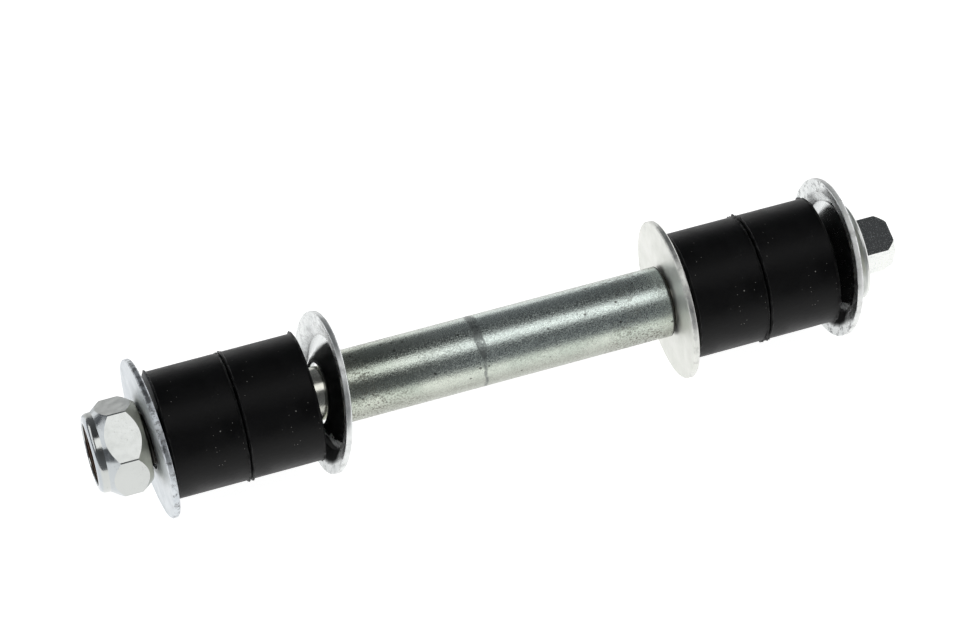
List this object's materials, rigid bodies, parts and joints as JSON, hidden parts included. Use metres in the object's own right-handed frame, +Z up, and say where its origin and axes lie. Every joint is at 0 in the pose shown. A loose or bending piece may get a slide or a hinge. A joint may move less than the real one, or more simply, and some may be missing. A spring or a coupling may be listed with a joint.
{
  "type": "stabilizer link",
  "caption": "Bolt-type stabilizer link: a flanged bolt with a square end carries rubber bushings, a spacer sleeve, flat and cup washers and a nylon-insert lock nut.",
  "frame": {"origin": "middle of the link's box, on the bolt's axis, halfway between the nut's collar and the end of the square", "axes": "+X along the bolt from the nut to the square, +Z up as the link lies on its washers"},
  "size_m": [0.1852, 0.036, 0.036],
  "materials": {
    "bolt_steel": "dull zinc-plated steel, dark rolled skin on the square's flats",
    "nut_zinc": "bright zinc plating",
    "nylon": "dark brown nylon",
    "washer_zinc": "satin zinc plating with handling marks",
    "cup_zinc": "pressed zinc-plated steel, scuffed dark in places",
    "sleeve_steel": "dull zinc-plated tube with grime and a dark band",
    "bushing_rubber": "moulded black rubber with flash at its edges and pale dust"
  },
  "bodies": {
    "bolt": {"bolt": "bolt_steel"},
    "nut_washer": {"flat_washer_nut_end": "washer_zinc"},
    "nut": {"lock_nut": "nut_zinc", "nylon_insert": "nylon"},
    "nut_bushing_outer": {"bushing_nut_outer": "bushing_rubber"},
    "nut_bushing_inner": {"bushing_nut_inner": "bushing_rubber"},
    "sleeve_cup": {"cup_washer_sleeve_end": "cup_zinc"},
    "sleeve": {"spacer_sleeve": "sleeve_steel"},
    "sleeve_washer": {"flat_washer_sleeve_end": "washer_zinc"},
    "head_bushing_inner": {"bushing_head_inner": "bushing_rubber"},
    "head_bushing_outer": {"bushing_head_outer": "bushing_rubber"},
    "flange_cup": {"cup_washer_flange_end": "cup_zinc"}
  },
  "joints": [
    {"name": "nut_turn", "type": "hinge", "parent": "nut_washer", "child": "nut", "pos_m": [-0.0865, 0, 0], "axis": [-1, 0, 0], "range_deg": [0, 1440]},
    {"name": "nut_washer_travel", "type": "slide", "parent": "bolt", "child": "nut_washer", "axis": [-1, 0, 0], "range_m": [0, 0.005]},
    {"name": "nut_bushings_slide", "type": "slide", "parent": "bolt", "child": "nut_bushing_outer", "axis": [1, 0, 0], "range_m": [-0.0003, 0]},
    {"name": "nut_bushing_spin", "type": "hinge", "parent": "nut_bushing_outer", "child": "nut_bushing_inner", "pos_m": [-0.05186, 0, 0], "axis": [1, 0, 0], "continuous": true},
    {"name": "sleeve_cup_rock", "type": "hinge", "parent": "bolt", "child": "sleeve_cup", "pos_m": [-0.04075, 0, 0], "axis": [0, 1, 0], "range_deg": [-20, 0]},
    {"name": "sleeve_spin", "type": "hinge", "parent": "bolt", "child": "sleeve", "pos_m": [0.0015, 0, 0], "axis": [1, 0, 0], "continuous": true},
    {"name": "sleeve_washer_spin", "type": "hinge", "parent": "bolt", "child": "sleeve_washer", "pos_m": [0.04015, 0, 0], "axis": [1, 0, 0], "continuous": true},
    {"name": "head_bushings_slide", "type": "slide", "parent": "bolt", "child": "head_bushing_inner", "axis": [1, 0, 0], "range_m": [-0.0012, 0]},
    {"name": "head_bushing_spin", "type": "hinge", "parent": "head_bushing_inner", "child": "head_bushing_outer", "pos_m": [0.06745, 0, 0], "axis": [1, 0, 0], "continuous": true},
    {"name": "flange_cup_rock", "type": "hinge", "parent": "bolt", "child": "flange_cup", "pos_m": [0.07762, 0, 0], "axis": [0, 1, 0], "range_deg": [-12, 0]}
  ],
  "couplings": [
    {"joint": "nut_turn", "follows": "nut_washer_travel", "rad_per_m": 5026.5}
  ]
}
